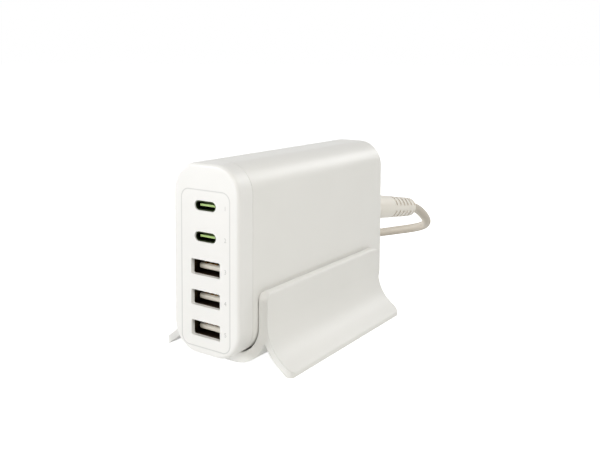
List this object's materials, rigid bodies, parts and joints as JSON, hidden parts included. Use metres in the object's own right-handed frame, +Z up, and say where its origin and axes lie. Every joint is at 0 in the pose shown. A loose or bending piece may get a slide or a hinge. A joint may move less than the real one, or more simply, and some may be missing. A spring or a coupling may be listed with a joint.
{
  "type": "usb charger",
  "caption": "Slim upright desktop charger with rounded long edges and sockets one above another in its narrow front, standing in a separate cradle with flared feet, with its mains lead.",
  "frame": {"origin": "centre of the cradle and housing's footprint, on the table plane under the cradle's feet", "axes": "+Z up; -Y is the way the sockets face; +X is to the right of someone who looks at the sockets; the mains lead leaves towards +Y"},
  "size_m": [0.1632, 0.1938, 0.0701],
  "materials": {
    "white_housing": "satin",
    "white_cradle": "satin",
    "soft_pad": "matte",
    "socket_steel": "satin",
    "green_insulator": "satin",
    "cream_insulator": "satin",
    "gold_contact": "polished",
    "circuit_board": "semi-gloss",
    "insulating_film": "glossy",
    "ferrite": "matte",
    "winding_tape": "satin",
    "sink_aluminium": "satin",
    "black_epoxy": "matte",
    "capacitor_sleeve": "glossy",
    "yellow_case": "glossy",
    "copper_wire": "enamelled",
    "capacitor_can": "polished",
    "black_moulding": "satin",
    "plated_pin": "polished",
    "lead_vinyl": "satin"
  },
  "bodies": {
    "root": {"front_bezel": "white_housing", "rear_shell": "white_housing", "cradle": "white_cradle", "cradle_pads": "soft_pad", "small_socket_shell_1": "socket_steel", "small_socket_shell_2": "socket_steel", "small_socket_tongue_1": "green_insulator", "small_socket_tongue_2": "green_insulator", "large_socket_shell_1": "socket_steel", "large_socket_shell_2": "socket_steel", "large_socket_shell_3": "socket_steel", "large_socket_tongue_1": "cream_insulator", "large_socket_tongue_2": "cream_insulator", "large_socket_tongue_3": "cream_insulator", "large_socket_contacts_1": "gold_contact", "large_socket_contacts_2": "gold_contact", "large_socket_contacts_3": "gold_contact", "port_board": "circuit_board", "main_board": "circuit_board", "insulation_sheet": "insulating_film", "transformer_core": "ferrite", "transformer_winding": "winding_tape", "heat_sink": "sink_aluminium", "switching_transistor": "black_epoxy", "bulk_capacitor_1": "capacitor_sleeve", "bulk_capacitor_2": "capacitor_sleeve", "x_capacitor": "yellow_case", "choke_core": "ferrite", "choke_winding": "copper_wire", "bridge_rectifier": "black_epoxy", "fuse": "black_epoxy", "output_capacitors": "capacitor_can", "buck_inductors": "ferrite", "control_chips": "black_epoxy", "mains_inlet": "black_moulding", "inlet_pins": "plated_pin", "inlet_leads": "copper_wire", "lead_connector": "lead_vinyl", "lead_cord": "lead_vinyl", "lead_coil": "lead_vinyl", "coil_tie": "black_moulding", "plug_body": "lead_vinyl", "plug_pins": "plated_pin"}
  },
  "joints": []
}
